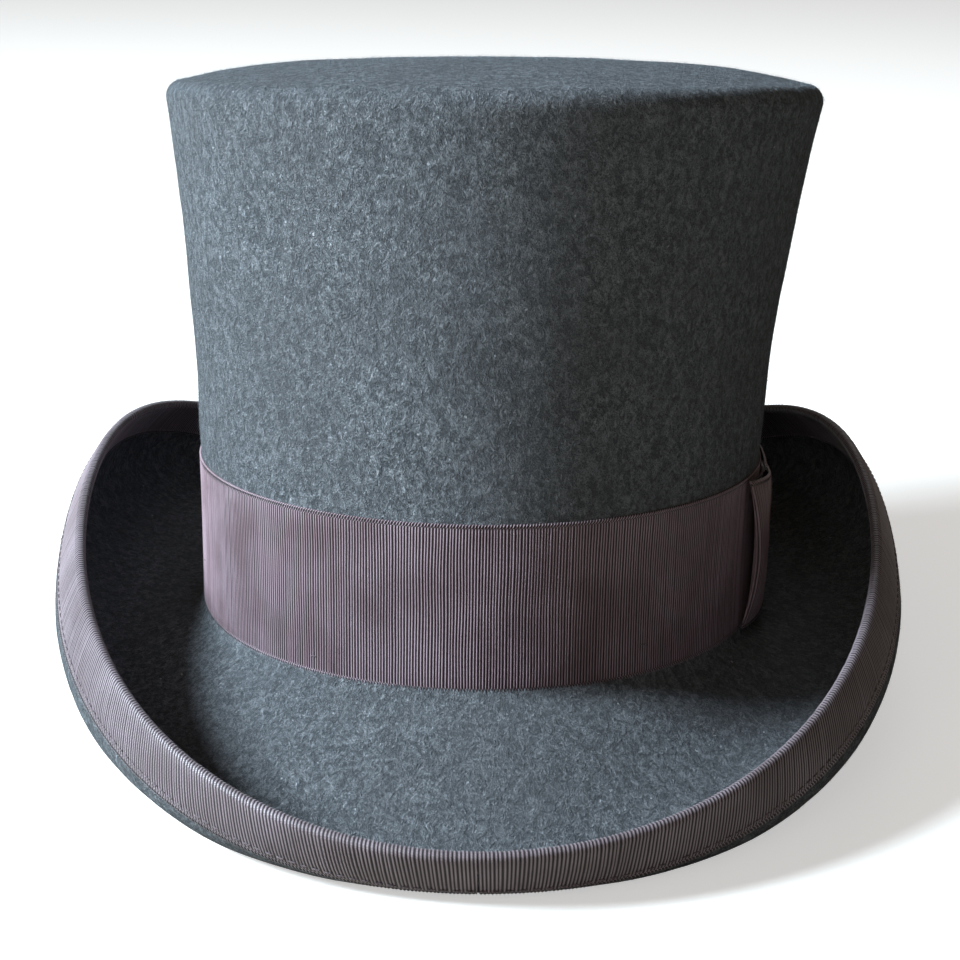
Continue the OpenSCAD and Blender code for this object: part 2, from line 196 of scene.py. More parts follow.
def brim(t, lengths, from_rim, depth):
    """Points on the brim at a distance from its rim and a depth under its upper face.
    lengths comes from rail_lengths(t)."""
    share = np.broadcast_to(np.asarray(from_rim, float), t.shape)
    u = np.array([np.interp(row[-1] - s, row, RAIL_STEPS) for row, s in zip(lengths, share)])
    p, way = rail_point(brim_rail(t), u)
    return round_hat(p + np.reshape(depth, (-1, 1)) * np.stack([way[:, 1], -way[:, 0]], -1), t)


def brim_edge(t, out, angle):
    """Points on the round edge of the brim: angle 0 meets the upper face, 180 the under face."""
    p, way = rail_point(brim_rail(t), np.ones(len(t)))
    down = np.stack([way[:, 1], -way[:, 0]], -1)
    a = math.radians(angle)
    reach = np.reshape(FELT / 2 + out, (-1, 1))
    return round_hat(p + FELT / 2 * down + reach * (math.sin(a) * way - math.cos(a) * down), t)


quarter_turns = np.array([-90.0, 0.0, 90.0])
print("brim from crown to rim, front, side, back:", rail_lengths(quarter_turns)[:, -1].round(1))

# %% [markdown]
# ## A grid that is formed like cloth
#
# Felt, ribbon, leather and satin are all sheets. Each one starts as Blender's plain grid, and its
# rows are then laid along the curves above, the way a sheet is smoothed over a block. A sheet that
# goes all round the hat is sewn shut where its ends meet, with Merge by Distance. The grid's own UV
# map stays with it, scaled to metres, so that a weave always runs along the cloth.


# %% Start clean, then lay a grid's rows in space
def only(*objects):
    """Selects just these objects and makes the first one active."""
    for o in bpy.context.view_layer.objects:
        o.select_set(o in objects)
    bpy.context.view_layer.objects.active = objects[0]


def edit(obj, *steps):
    """Runs operators on all of a mesh in edit mode."""
    only(obj)
    bpy.ops.object.mode_set(mode="EDIT")
    bpy.ops.mesh.select_all(action="SELECT")
    for step in steps:
        step()
    bpy.ops.object.mode_set(mode="OBJECT")


SEAM = 1e-6


def sew():
    bpy.ops.mesh.remove_doubles(threshold=SEAM)


def face_out():
    bpy.ops.mesh.normals_make_consistent(inside=False)


def turn_over():
    bpy.ops.mesh.flip_normals()


def change_map(obj, change):
    """Passes the grid's UV map, as rows of two, through change."""
    layer = obj.data.uv_layers[0].data
    uv = np.zeros(len(layer) * 2)
    layer.foreach_get("uv", uv)
    layer.foreach_set("uv", change(uv.reshape(-1, 2)).reshape(-1))


def lay_grid(name, rows, cloth=None):
    """A grid whose rows of points are given as an array of rows by points by 3, in metres.
    cloth is the sheet's (length, width) in metres, for its UV map."""
    rows = np.asarray(rows, float)
    tall, wide = rows.shape[:2]
    only_none()
    bpy.ops.mesh.primitive_grid_add(
        x_subdivisions=wide - 1, y_subdivisions=tall - 1, size=2, calc_uvs=True
    )
    obj = bpy.context.object
    obj.name = obj.data.name = name
    obj.data.vertices.foreach_set("co", rows.reshape(-1))
    if cloth:
        change_map(obj, lambda uv: uv * cloth)
    obj.data.update()
    return obj


def only_none():
    if bpy.context.object and bpy.context.object.mode != "OBJECT":
        bpy.ops.object.mode_set(mode="OBJECT")
    bpy.ops.object.select_all(action="DESELECT")


def smooth(obj, angle=None):
    only(obj)
    if angle is None:
        bpy.ops.object.shade_smooth()
    else:
        bpy.ops.object.shade_smooth_by_angle(angle=math.radians(angle))
    return obj


def apply_modifier(obj, kind, **values):
    """Adds a modifier, sets its values and applies it."""
    only(obj)
    m = obj.modifiers.new(kind.lower(), kind)
    for key, value in values.items():
        setattr(m, key, value)
    bpy.ops.object.modifier_apply(modifier=m.name)


def around(count):
    """Angles all round the hat. The last one closes the ring on the first."""
    return np.linspace(-90, 270, count + 1)


def run_along(points):
    """How far along a row of points each of them is, in metres."""
    return np.concatenate([[0], np.cumsum(np.linalg.norm(np.diff(points, axis=0), axis=1))])


def girth(points):
    """Length of a closed or open row of points, in metres."""
    return float(np.linalg.norm(np.diff(points, axis=0), axis=1).sum())


def dress(obj, material, replaced):
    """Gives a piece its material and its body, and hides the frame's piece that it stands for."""
    obj.data.materials.append(material)
    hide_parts(replaced)
    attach(obj, "root")


def mesh_object(name, verts, faces):
    mesh = bpy.data.meshes.new(name)
    mesh.from_pydata(verts, [], faces)
    obj = bpy.data.objects.new(name, mesh)
    bpy.context.collection.objects.link(obj)
    edit(obj, face_out)
    return obj


def points_of(mesh, what="co"):
    """The places or the normals of a mesh's points, as rows of three."""
    values = np.zeros(len(mesh.vertices) * 3)
    mesh.vertices.foreach_get(what, values)
    return values.reshape(-1, 3)


print("grids are laid row by row")

# %% [markdown]
# ## Finishes
#
# ### Wool felt
#
# Felt has no threads. Its fibres lie every way and are pressed together, so up close it is a fine
# mess of short curved lines, and from a step back it is cloudy. We mix three noises on Object
# coordinates: clouds as wide as a thumb, a lumpy pile of a few millimetres, and thin curved fibres
# that come from a noise with a strong distortion. The same values drive colour and bump.
# They sit in one node group.


# %% Small helpers for shader nodes
def new_material(name):
    m = bpy.data.materials.new(name)
    m.use_nodes = True
    nodes = m.node_tree.nodes
    nodes.clear()
    out = nodes.new("ShaderNodeOutputMaterial")
    shader = nodes.new("ShaderNodeBsdfPrincipled")
    m.node_tree.links.new(shader.outputs[0], out.inputs[0])
    return m, m.node_tree, shader


def feed(tree, n, **values):
    """Gives a node its inputs by name. Another node's output is linked, and a value is set."""
    for key, value in values.items():
        socket = n.inputs[key.replace("_", " ")]
        if isinstance(value, bpy.types.NodeSocket):
            tree.links.new(value, socket)
        else:
            socket.default_value = value


def node(tree, kind, **values):
    n = tree.nodes.new("ShaderNode" + kind)
    feed(tree, n, **values)
    return n


def object_place(tree):
    return node(tree, "TexCoord").outputs["Object"]


def math_node(tree, operation, a, b=None):
    n = tree.nodes.new("ShaderNodeMath")
    n.operation = operation
    for socket, value in zip(n.inputs, (a, b)):
        if isinstance(value, (int, float)):
            socket.default_value = value
        elif value is not None:
            tree.links.new(value, socket)
    return n.outputs[0]


def spread_node(tree, value, low, high, to_low=0.0, to_high=1.0):
    n = tree.nodes.new("ShaderNodeMapRange")
    tree.links.new(value, n.inputs["Value"])
    for name, number in zip(("From Min", "From Max", "To Min", "To Max"), (low, high, to_low, to_high)):
        n.inputs[name].default_value = number
    return n.outputs[0]


def noise_node(tree, vector, scale, detail=2.0, rough=0.5, distortion=0.0):
    n = node(tree, "TexNoise", Vector=vector, Scale=scale, Detail=detail, Roughness=rough,
             Distortion=distortion)
    return n.outputs[0]


def mix_colours(tree, share, a, b):
    n = tree.nodes.new("ShaderNodeMix")
    n.data_type = "RGBA"
    for socket, value in ((n.inputs[0], share), (n.inputs[6], a), (n.inputs[7], b)):
        if isinstance(value, (tuple, float, int)):
            socket.default_value = (*value, 1.0) if isinstance(value, tuple) else value
        else:
            tree.links.new(value, socket)
    return n.outputs[2]


def new_group(name, inputs, outputs):
    """A node group with float inputs {name: default} and outputs {name: kind}."""
    group = bpy.data.node_groups.new(name, "ShaderNodeTree")
    for key, value in inputs.items():
        s = group.interface.new_socket(name=key, in_out="INPUT", socket_type="NodeSocketFloat")
        s.default_value = value
    for key, kind in outputs.items():
        group.interface.new_socket(name=key, in_out="OUTPUT", socket_type="NodeSocket" + kind)
    return group, group.nodes.new("NodeGroupInput"), group.nodes.new("NodeGroupOutput")


def use_group(tree, group, **values):
    n = tree.nodes.new("ShaderNodeGroup")
    n.node_tree = group
    for key, value in values.items():
        n.inputs[key].default_value = value
    return n


def bump(tree, shader, height, distance, strength=1.0):
    n = node(tree, "Bump", Strength=strength, Distance=distance, Height=height)
    feed(tree, shader, Normal=n.outputs[0])


def colour(r, g, b):
    """A colour as it is seen on a screen, from 0 to 255, as Blender's linear numbers."""
    return tuple((v / 255 / 12.92) if v <= 10 else ((v / 255 + 0.055) / 1.055) ** 2.4 for v in (r, g, b))


# %% The felt's pattern and its material
nap_group, nap_in, nap_out = new_group(
    "wool nap", {"Fibre Scale": 1350.0},
    {"Cloud": "Float", "Fleck": "Float", "Specks": "Float", "Height": "Float"}
)
place = object_place(nap_group)
brushed = node(nap_group, "Mapping", Vector=place, Scale=(1.0, 1.0, 0.78),
               Rotation=(0.0, math.radians(14), 0.0)).outputs[0]
cloud = noise_node(nap_group, place, 30, detail=4, rough=0.6)
pile = noise_node(nap_group, brushed, 430, detail=4, rough=0.62, distortion=0.9)
fibre = node(nap_group, "TexNoise", Vector=brushed, Scale=nap_in.outputs["Fibre Scale"], Detail=2.0,
             Roughness=0.7, Distortion=1.6).outputs[0]
fibre = spread_node(nap_group, fibre, 0.38, 0.62)
pile_strong = spread_node(nap_group, pile, 0.35, 0.65)
fleck = math_node(nap_group, "ADD", math_node(nap_group, "MULTIPLY", fibre, 0.5),
                  math_node(nap_group, "MULTIPLY", pile_strong, 0.5))
specks = spread_node(nap_group, noise_node(nap_group, place, 640, detail=0), 0.875, 0.9)
feed(nap_group, nap_out, Cloud=spread_node(nap_group, cloud, 0.3, 0.7), Fleck=fleck, Specks=specks,
     Height=fleck)

FELT_DARK = colour(74, 76, 80)
FELT_MIDDLE = colour(106, 109, 114)
FELT_LIGHT = colour(152, 156, 161)
FELT_WARM = colour(94, 93, 96)
felt_material, tree, shader = new_material("wool felt")
nap = use_group(tree, nap_group)
shaded = mix_colours(tree, spread_node(tree, nap.outputs["Fleck"], 0.2, 0.5), FELT_DARK, FELT_MIDDLE)
lit = mix_colours(tree, spread_node(tree, nap.outputs["Fleck"], 0.48, 0.85), shaded, FELT_LIGHT)
patchy = mix_colours(tree, spread_node(tree, nap.outputs["Cloud"], 0.0, 1.0, 0.0, 0.45), lit, FELT_WARM)
linty = mix_colours(tree, nap.outputs["Specks"], patchy, colour(190, 192, 196))
feed(tree, shader, Base_Color=linty, Roughness=1.0, Specular_IOR_Level=0.12, Sheen_Weight=0.14,
     Sheen_Roughness=0.5, Sheen_Tint=(*colour(190, 205, 215), 1))
bump(tree, shader, nap.outputs["Height"], 0.0024, 1.0)

# %% [markdown]
# ### Ribbed ribbon
#
# The band, the bow and the edge binding are all the same ribbon: thick cross threads make ribs
# from one border to the other, and fine silky threads cover them. Each border is closed by a row
# of tiny loops. The ribs are real geometry on our meshes. The material reads the UV map, in metres,
# to paint shade into the grooves between ribs and a highlight on their backs, and to paint thin
# slanted lines of shade between the fine threads. The border's loops come from a second wave that
# runs only near the two borders, and they get the same painted highlight as the rib backs.

# %% The ribbon's pattern
rib_group, rib_in, rib_out = new_group(
    "ribbed ribbon", {"Rib Pitch": 0.00095, "Width": 0.046, "Border": 0.0013},
    {"Ridge": "Float", "Loops": "Float", "Thread": "Float", "Height": "Float"},
)
split = node(rib_group, "SeparateXYZ", Vector=node(rib_group, "UVMap").outputs[0])
along, across = split.outputs[0], split.outputs[1]
calc = partial(math_node, rib_group)
turns = calc("DIVIDE", along, rib_in.outputs["Rib Pitch"])
phase = calc("MULTIPLY", turns, 2 * math.pi)
ridge = spread_node(rib_group, calc("COSINE", phase), -1, 1)
far_border = calc("SUBTRACT", rib_in.outputs["Width"], across)
to_border = calc("MINIMUM", across, far_border)
border_share = calc("DIVIDE", to_border, rib_in.outputs["Border"])
border = spread_node(rib_group, border_share, 0.75, 1.0, 1.0, 0.0)
LOOP_ROWS = 2
loop_phase = calc("MULTIPLY", border_share, LOOP_ROWS * math.pi)
loops = spread_node(rib_group, calc("SINE", calc("ADD", phase, loop_phase)), -0.6, 0.9)
loops = calc("MULTIPLY", loops, border)
THREAD_PITCH = 0.00034
thread_phase = calc("ADD", calc("MULTIPLY", across, 2 * math.pi / THREAD_PITCH), phase)
thread = spread_node(rib_group, calc("SINE", thread_phase), -1, 1)
body_part = calc("SUBTRACT", 1.0, border)
ridge_body = calc("MULTIPLY", ridge, body_part)
height = calc("ADD", ridge_body, loops)
height = calc("ADD", height, calc("MULTIPLY", thread, 0.18))
feed(rib_group, rib_out, Ridge=ridge_body, Loops=loops, Thread=thread, Height=height)


# %% One ribbon material for each rib pitch and width
# Painted light: the groove colour is painted shade, and the back colours are the ribbon's own tone
# lightened by a painted highlight.
RIBBON_GROOVE_SHADE = colour(30, 22, 27)
RIBBON_BACK_HIGHLIGHT = colour(178, 154, 165)
RIBBON_WARM_HIGHLIGHT = colour(150, 124, 132)


def ribbon_material(name, pitch, width, back=RIBBON_BACK_HIGHLIGHT, warm=RIBBON_WARM_HIGHLIGHT):
    m, tree, shader = new_material(name)
    rib = use_group(tree, rib_group, **{"Rib Pitch": pitch, "Width": width})
    worn = noise_node(tree, object_place(tree), 60, detail=3)
    back = mix_colours(tree, spread_node(tree, worn, 0.35, 0.65), back, warm)
    # Painted highlight on the rib backs and border loops, painted shade in the grooves between them.
    high = math_node(tree, "MAXIMUM", rib.outputs["Ridge"], rib.outputs["Loops"])
    shaded = mix_colours(tree, spread_node(tree, high, 0.25, 0.9), RIBBON_GROOVE_SHADE, back)
    # Thin slanted lines of painted shade between the fine silky threads.
    dim = spread_node(tree, rib.outputs["Thread"], 0, 1, 0.6, 0.0)
    feed(tree, shader, Base_Color=mix_colours(tree, dim, shaded, RIBBON_GROOVE_SHADE),
         Roughness=spread_node(tree, high, 0, 1, 0.75, 0.42), Specular_IOR_Level=0.45,
         Sheen_Weight=0.12, Sheen_Roughness=0.4)
    bump(tree, shader, rib.outputs["Height"], 0.00022, 0.7)
    return m


BAND_PITCH = 0.00095
BINDING_PITCH = 0.00103
SMALL_PITCH = 0.0007
BAND_HEIGHT = 46.0
band_ribbon = ribbon_material("hat band ribbon", BAND_PITCH, BAND_HEIGHT * MM)
# The binding's back colours carry the same painted highlight.
binding_ribbon = ribbon_material("brim binding ribbon", BINDING_PITCH, 0.0324,
                                 back=colour(168, 152, 160), warm=colour(142, 126, 131))
bow_ribbon = ribbon_material("bow ribbon", BAND_PITCH, 0.044)
wrap_ribbon = ribbon_material("bow wrap ribbon", BAND_PITCH, 0.013)
small_ribbon = ribbon_material("small bow ribbon", SMALL_PITCH, 0.009)
print("ribbon grooves are", BAND_PITCH * 1000, "mm apart on the band")

# %% [markdown]
# ### Thread, leather, satin and label cloth
#
# These sit inside the hat and are seen when it is turned over. Thread is twisted; here it gets a
# fine noise grain. The leather is tanned calf: a small cell pattern with soft creases and darker
# places where a head rubs it. The satin lining is woven so fine that only its gloss and slight slubs
# show. The label is a plain woven patch with nothing on it.


# %% Thread, leather, satin, label
def plain_material(name, dark, light, scale, roughness, specular, sheen, height, distortion=0.0):
    m, tree, shader = new_material(name)
    place = object_place(tree)
    grain = noise_node(tree, place, scale, detail=4, distortion=distortion)
    broad = noise_node(tree, place, 45, detail=2)
    share = math_node(tree, "ADD", math_node(tree, "MULTIPLY", grain, 0.6),
                      math_node(tree, "MULTIPLY", broad, 0.4))
    share = spread_node(tree, share, 0.38, 0.62)
    feed(tree, shader, Base_Color=mix_colours(tree, share, dark, light),
         Roughness=spread_node(tree, share, 0, 1, roughness + 0.08, roughness - 0.08),
         Specular_IOR_Level=specular, Sheen_Weight=sheen)
    bump(tree, shader, grain, height, 0.6)
    return m


thread_material = plain_material("sewing thread", colour(50, 41, 45), colour(112, 97, 103), 2600, 0.6,
                                 0.3, 0.2, height=0.0001)
satin_material = plain_material("lining satin", colour(14, 14, 17), colour(34, 34, 40), 900, 0.34,
                                0.6, 0.25, height=0.00006, distortion=0.4)
label_material = plain_material("woven label", colour(172, 166, 150), colour(216, 211, 196), 1500, 0.8,
                                0.2, 0.1, height=0.0001)

leather_material, tree, shader = new_material("sweatband leather")
place = object_place(tree)
cells = tree.nodes.new("ShaderNodeTexVoronoi")
cells.feature = "DISTANCE_TO_EDGE"
feed(tree, cells, Vector=place, Scale=900)
crease = spread_node(tree, cells.outputs["Distance"], 0.0, 0.18)
rubbed = noise_node(tree, place, 40, detail=4)
skin = mix_colours(tree, spread_node(tree, rubbed, 0.35, 0.65), colour(58, 38, 26), colour(104, 72, 50))
# The creases are painted darker: painted shade in the grooves of the cell pattern.
feed(tree, shader, Base_Color=mix_colours(tree, crease, colour(36, 23, 16), skin),
     Roughness=spread_node(tree, rubbed, 0.3, 0.7, 0.55, 0.38), Specular_IOR_Level=0.45)
bump(tree, shader, crease, 0.00025, 0.6)
print("materials:", len(bpy.data.materials))

# %% [markdown]
# ## The felt body
#
# Crown and brim are one piece of felt, so they are one closed skin here: over the tip, round its soft
# edge, down the wall, out along the brim, round the rim and back on the inside. Real felt is never
# quite even, so the finished skin gets a very low swell of about half a millimetre.
# Under the ribbons the swell is held back, so that they lie flat.

# %% Lay the felt over its block
FELT_COLUMNS = 288
turns = around(FELT_COLUMNS)
lengths = rail_lengths(turns)
RAIL = lengths[:, -1]
wall_heights = CROWN_HEIGHT * np.linspace(1, 0, 46)[1:]


def felt_tip(drop):
    """Rows from the middle of the domed tip out to its rounded edge."""
    rim = corner(TIP_RADIUS - drop, 90, turns)
    middle = rim.mean(0)
    up = np.array(tip_axis) * TIP_DOME * MM
    shares = np.concatenate([[0.0], np.linspace(0.04, 1, 26)])
    return [middle + (rim - middle) * s + up * (1 - s**3) for s in shares]


def felt_side(depth):
    """Rows down one face of the felt, from the rounded edge to the rim."""
    rows = [corner(TIP_RADIUS - depth, a, turns) for a in np.linspace(90, -FLARE_ANGLE, 9)[1:-1]]
    rows += [wall(-depth, h, turns) for h in [CROWN_HEIGHT, *wall_heights[:-1]]]
    shares = np.linspace(0, 1, 40)[1:] if depth == 0 else np.linspace(0, 1, 34)[1:]
    side = [brim(turns, lengths, RAIL * (1 - s), depth) for s in shares]
    return rows, side


outer_wall, upper = felt_side(0)
inner_wall, under = felt_side(FELT)
edge = [brim_edge(turns, 0, a) for a in np.linspace(0, 180, 9)[1:-1]]
felt_rows = felt_tip(0) + outer_wall + upper + edge
felt_rows += under[::-1] + inner_wall[::-1] + felt_tip(FELT)[::-1]
felt = lay_grid("felt_body", felt_rows)
edit(felt, sew, face_out)
smooth(felt)
print("felt:", len(felt.data.polygons), "faces")

# %% Let the felt swell a little
def swell(obj, sizes, held=None):
    """Moves points along their normals by smooth noise. sizes are (wave length, height) pairs in
    metres, and held gives 0 to 1 for each point, where 0 keeps it still."""
    mesh = obj.data
    co, no = points_of(mesh), points_of(mesh, "normal")
    move = np.zeros(len(co))
    for length, high in sizes:
        move += high * np.array([noise.noise(Vector(p / length)) for p in co])
    if held is not None:
        move *= held(co)
    mesh.vertices.foreach_set("co", (co + no * move[:, None]).reshape(-1))
    mesh.update()


def upright(co):
    """Points of the standing hat, turned back to the upright frame, in millimetres."""
    a = math.radians(-STAND)
    p = (co - FOOT) / MM
    return np.stack([p[:, 0], p[:, 1] * math.cos(a) + p[:, 2] * math.sin(a),
                     p[:, 2] * math.cos(a) - p[:, 1] * math.sin(a)], -1)


def clear_of_ribbon(co):
    """0 under the band and inside the crown, 1 on bare felt."""
    p = upright(co)
    oval_share = np.hypot(p[:, 0] / HALF_WIDTH, p[:, 1] / HALF_LENGTH)
    on_crown = oval_share < 1.2
    bare = np.clip((p[:, 2] - BAND_HEIGHT - 3) / 8, 0, 1)
    out = np.clip((oval_share - 1.06) / 0.1, 0, 1)
    return np.where(on_crown, bare, 0.5) * np.where(p[:, 2] < BAND_HEIGHT, out, 1)


swell(felt, [(0.030, 0.0005), (0.009, 0.00016)], held=clear_of_ribbon)
dress(felt, felt_material, "felt_body")
print("felt box:", [round(float(v), 3) for v in (*felt.bound_box[0], *felt.bound_box[6])])

# %% [markdown]
# ## The nap
#
# Wool felt has a short nap: loose fibre ends that stand a millimetre or so off the cloth and blur its
# outline. Hair particles would not reach an exported mesh, so each fibre is a thin closed
# sliver of four faces. A seeded random picks points on the felt, and each fibre leans its own way.


# %% Scatter loose fibres
def scatter_points(obj, count, seed, keep):
    """Random points on the faces of a mesh that keep(centres, normals) allows."""
    mesh = obj.data
    mesh.calc_loop_triangles()
    tris = np.zeros(len(mesh.loop_triangles) * 3, int)
    mesh.loop_triangles.foreach_get("vertices", tris)
    corners = points_of(mesh)[tris.reshape(-1, 3)]
    normals = np.cross(corners[:, 1] - corners[:, 0], corners[:, 2] - corners[:, 0])
    area = np.linalg.norm(normals, axis=1)
    normals = normals / np.maximum(area, 1e-12)[:, None]
    area = area * keep(corners.mean(1), normals)
    rng = np.random.default_rng(seed)
    pick = rng.choice(len(area), count, p=area / area.sum())
    a, b = rng.random(count), rng.random(count)
    flip = a + b > 1
    a, b = np.where(flip, 1 - a, a), np.where(flip, 1 - b, b)
    c = corners[pick]
    points = c[:, 0] + a[:, None] * (c[:, 1] - c[:, 0]) + b[:, None] * (c[:, 2] - c[:, 0])
    return points, normals[pick], rng


# Angles a third of a turn apart, for the three sides of a fibre
THIRDS = (0, 2.0944, 4.18879)


def add_fibres(name, obj, count, seed, keep, length=(0.7, 1.9), lift=(0.1, 0.75), thick=0.045):
    points, normals, rng = scatter_points(obj, count, seed, keep)
    random_way = rng.normal(size=(count, 3))
    flat = random_way - (random_way * normals).sum(1)[:, None] * normals
    flat /= np.linalg.norm(flat, axis=1)[:, None]
    up = rng.uniform(*lift, count)[:, None]
    way = flat * np.sqrt(1 - up**2) + normals * up
    side = np.cross(way, normals)
    side /= np.linalg.norm(side, axis=1)[:, None]
    third = np.cross(way, side)
    long = rng.uniform(*length, count)[:, None] * MM
    half = thick * MM / 2
    root = points - normals * 0.00005
    ring = [root + half * (math.cos(a) * side + math.sin(a) * third) for a in THIRDS]
    verts = np.stack([*ring, root + way * long], 1).reshape(-1, 3)
    base = np.arange(count)[:, None, None] * 4
    faces = (base + np.array([[0, 2, 1], [0, 1, 3], [1, 2, 3], [2, 0, 3]])).reshape(-1, 3)
    fibres = mesh_object(name, verts.tolist(), faces.tolist())
    fibres.data.materials.append(nap_material)
    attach(fibres, "root")


nap_material, tree, shader = new_material("loose wool")
tone = spread_node(tree, noise_node(tree, object_place(tree), 900, detail=1), 0.35, 0.65)
feed(tree, shader, Base_Color=mix_colours(tree, tone, colour(62, 70, 76), colour(140, 152, 160)),
     Roughness=1.0, Specular_IOR_Level=0.1, Sheen_Weight=0.2)


def crown_felt(centres, normals):
    """1 on the bare outside of the crown."""
    p = upright(centres)
    outside = normals[:, 2] + (normals[:, :2] * (centres[:, :2] - FOOT[:2])).sum(1) * 20 > 0
    share = np.hypot((p[:, 0] - SIDE_LEAN / 2) / HALF_WIDTH, p[:, 1] / HALF_LENGTH)
    return ((p[:, 2] > BAND_HEIGHT + 1.5) & (share < 1.3) & outside).astype(float)


def brim_felt(centres, normals):
    """1 on both faces of the bare brim."""
    p = upright(centres)
    share = np.hypot(p[:, 0] / HALF_WIDTH, p[:, 1] / HALF_LENGTH)
    ang = np.degrees(np.arctan2(p[:, 1] / HALF_LENGTH, p[:, 0] / HALF_WIDTH))
    high = wave(RISE, ang) + foot_z(ang)
    d = (share - 1) * 96
    far = np.hypot(d - wave(REACH, ang), p[:, 2] - high) > 15.5
    return ((d > 1.5) & (p[:, 2] < 46) & far).astype(float)


CROWN_FIBRES, BRIM_FIBRES = 46000, 30000
add_fibres("felt_nap_crown", felt, CROWN_FIBRES, 5, crown_felt)
add_fibres("felt_nap_brim", felt, BRIM_FIBRES, 6, brim_felt, lift=(0.05, 0.6))
print("fibres:", CROWN_FIBRES + BRIM_FIBRES)

# %% [markdown]
# ## The hat band
#
# The band is ribbed ribbon, pulled tight round the foot of the crown and sewn at a few places. Each
# rib is about a millimetre wide and runs from border to border. The ribs are modelled: four columns
# of the grid make one rib. They wander a little sideways, as the cloth is pulled over a curve.
# Both borders end in a row of tiny loops, made by letting every rib swell into a bead, and then
# the border turns down to the felt.


# %% Ribs, and the profile across a ribbon
def ribbon_profile(width, body_rows, border=1.3):
    """Rows across a ribbon, in mm: its place across, rib height, bead share and lift of the row."""
    edge = [(0.0, 0.15, 0.0, 0.0), (0.0, 0.5, 0.6, 0.55), (0.25, 0.9, 1.0, 0.9), (0.65, 1.0, 1.0, 1.0),
            (1.0, 0.7, 0.6, 0.95), (border, 0.55, 0.0, 0.9), (border + 0.5, 1.0, 0.0, 1.0)]
    body = [(w, 1.0, 0.0, 1.0)
            for w in np.linspace(border + 0.5, width - border - 0.5, body_rows + 2)[1:-1]]
    far = [(width - a, b, c, d) for a, b, c, d in edge[::-1]]
    return edge + body + far


PER_RIB = 4


def rib_pattern(columns):
    """Rib height from 0 in a groove to 1 on a ridge, and which rib each column is in."""
    k = np.arange(columns + 1)
    return 0.5 - 0.5 * np.cos(2 * np.pi * (k % PER_RIB) / PER_RIB), k // PER_RIB


def per_rib_noise(index, count, seed, size):
    rng = np.random.default_rng(seed)
    return rng.normal(0, size, count)[index % count]


RIBBON_THICK = 0.6
GAP = 0.05
BAND_FOOT = 1.2
RIB = 0.24


def lay_ribbon(name, place, count, profile, pitch, rib, seed, closed=True, slant=0.0, wander=0.25,
               thick=RIBBON_THICK):
    """Lays a ribbed ribbon. place(share, off, across) gives points in metres for shares 0 to 1 of
    the ribbon's length, at a height off what it lies on, in mm, and a place across it."""
    columns = count * PER_RIB
    ridge, index = rib_pattern(columns)
    uneven = 1 + per_rib_noise(index, count, seed, 0.13)
    drift = per_rib_noise(index, count, seed + 1, 0.05)
    share = np.arange(columns + 1) / columns
    rows = []
    for w, rib_part, bead, lift in profile:
        sway = wander * np.array([noise.noise(Vector((s * count * pitch / 9, w / 14, seed)))
                                  for s in share])
        if closed:
            ease = np.clip(np.minimum(share, 1 - share) * count / 6, 0, 1)
            sway, drift_here = sway * ease, drift * ease
        else:
            drift_here = drift
        shift = (sway + drift_here + slant * (w - profile[-1][0] / 2)) / (count * pitch)
        height = GAP + lift * (thick - rib) + rib * rib_part * (ridge * uneven + bead * 0.35)
        mid = profile[-1][0] / 2
        scallop = np.sign(w - mid) * bead * 0.12 * (2 * ridge - 1) if bead else 0.0
        rows.append(place(share + shift, height, w + scallop))
    obj = lay_grid(name, rows, cloth=(count * pitch * MM, 1.0))
    # Along the ribbon a groove is half a pitch past a whole pitch. Across, it is the real place.
    widths = np.array([p[0] for p in profile]) * MM
    change_map(obj, lambda uv: np.stack([
        uv[:, 0] + pitch * MM / 2, np.interp(uv[:, 1], np.linspace(0, 1, len(widths)), widths)], -1))
    return obj


# %% Lay the band round the crown
BAND_RIBS = 644


def on_wall(share, off, across):
    return wall(off, BAND_FOOT + across, -90 + 360 * share)


band = lay_ribbon("hat_band", on_wall, BAND_RIBS, ribbon_profile(BAND_HEIGHT, 11), BAND_PITCH * 1000,
                  RIB, seed=11)
edit(band, sew)
smooth(band)
dress(band, band_ribbon, "hat_band")
band_length = girth(wall(0.4, BAND_FOOT + BAND_HEIGHT / 2, around(360)))
print("band: length", round(band_length, 3), "m, faces", len(band.data.polygons))

# %% [markdown]
# ## The binding of the brim
#
# The rim is wrapped in the same ribbon, folded over the edge so that both faces hide the felt's cut.
# Its path across goes along the upper face to the rim, round the edge in a half circle, and
# back along the under face. The ribs now run in and out over the edge like the teeth of a
# comb. We space them evenly by length along the rim, because the oval's angle is not even.


# %% Even steps along a curve that goes round the hat
def even_turns(curve):
    """A function from shares 0 to 1 of a closed curve's length to angles around the hat."""
    t = around(1440)
    run = run_along(curve(t))
    return lambda share: np.interp(share, run / run[-1], t), float(run[-1])


rim_turn, rim_length = even_turns(lambda t: brim_edge(t, 0.3, 90))
BINDING_SIDE = 14.0
EDGE_ARC = math.pi * (FELT / 2 + 0.3)
BINDING_RIBS = int(rim_length / BINDING_PITCH)
print("rim:", round(rim_length, 3), "m round, with", BINDING_RIBS, "ribs")

# %% Fold the binding over the rim
rim_share = np.linspace(0, 1, BINDING_RIBS * PER_RIB + 1)
rim_lengths = rail_lengths(rim_turn(rim_share))


def on_rim(share, off, across):
    t = rim_turn(share)
    back = np.broadcast_to(across, t.shape).astype(float)
    if back[0] <= BINDING_SIDE:
        return brim(t, rim_lengths, BINDING_SIDE - back, -np.broadcast_to(off, t.shape))
    if back[0] >= BINDING_SIDE + EDGE_ARC:
        return brim(t, rim_lengths, back - BINDING_SIDE - EDGE_ARC,
                    FELT + np.broadcast_to(off, t.shape))
    return brim_edge(t, off, (back[0] - BINDING_SIDE) / EDGE_ARC * 180)


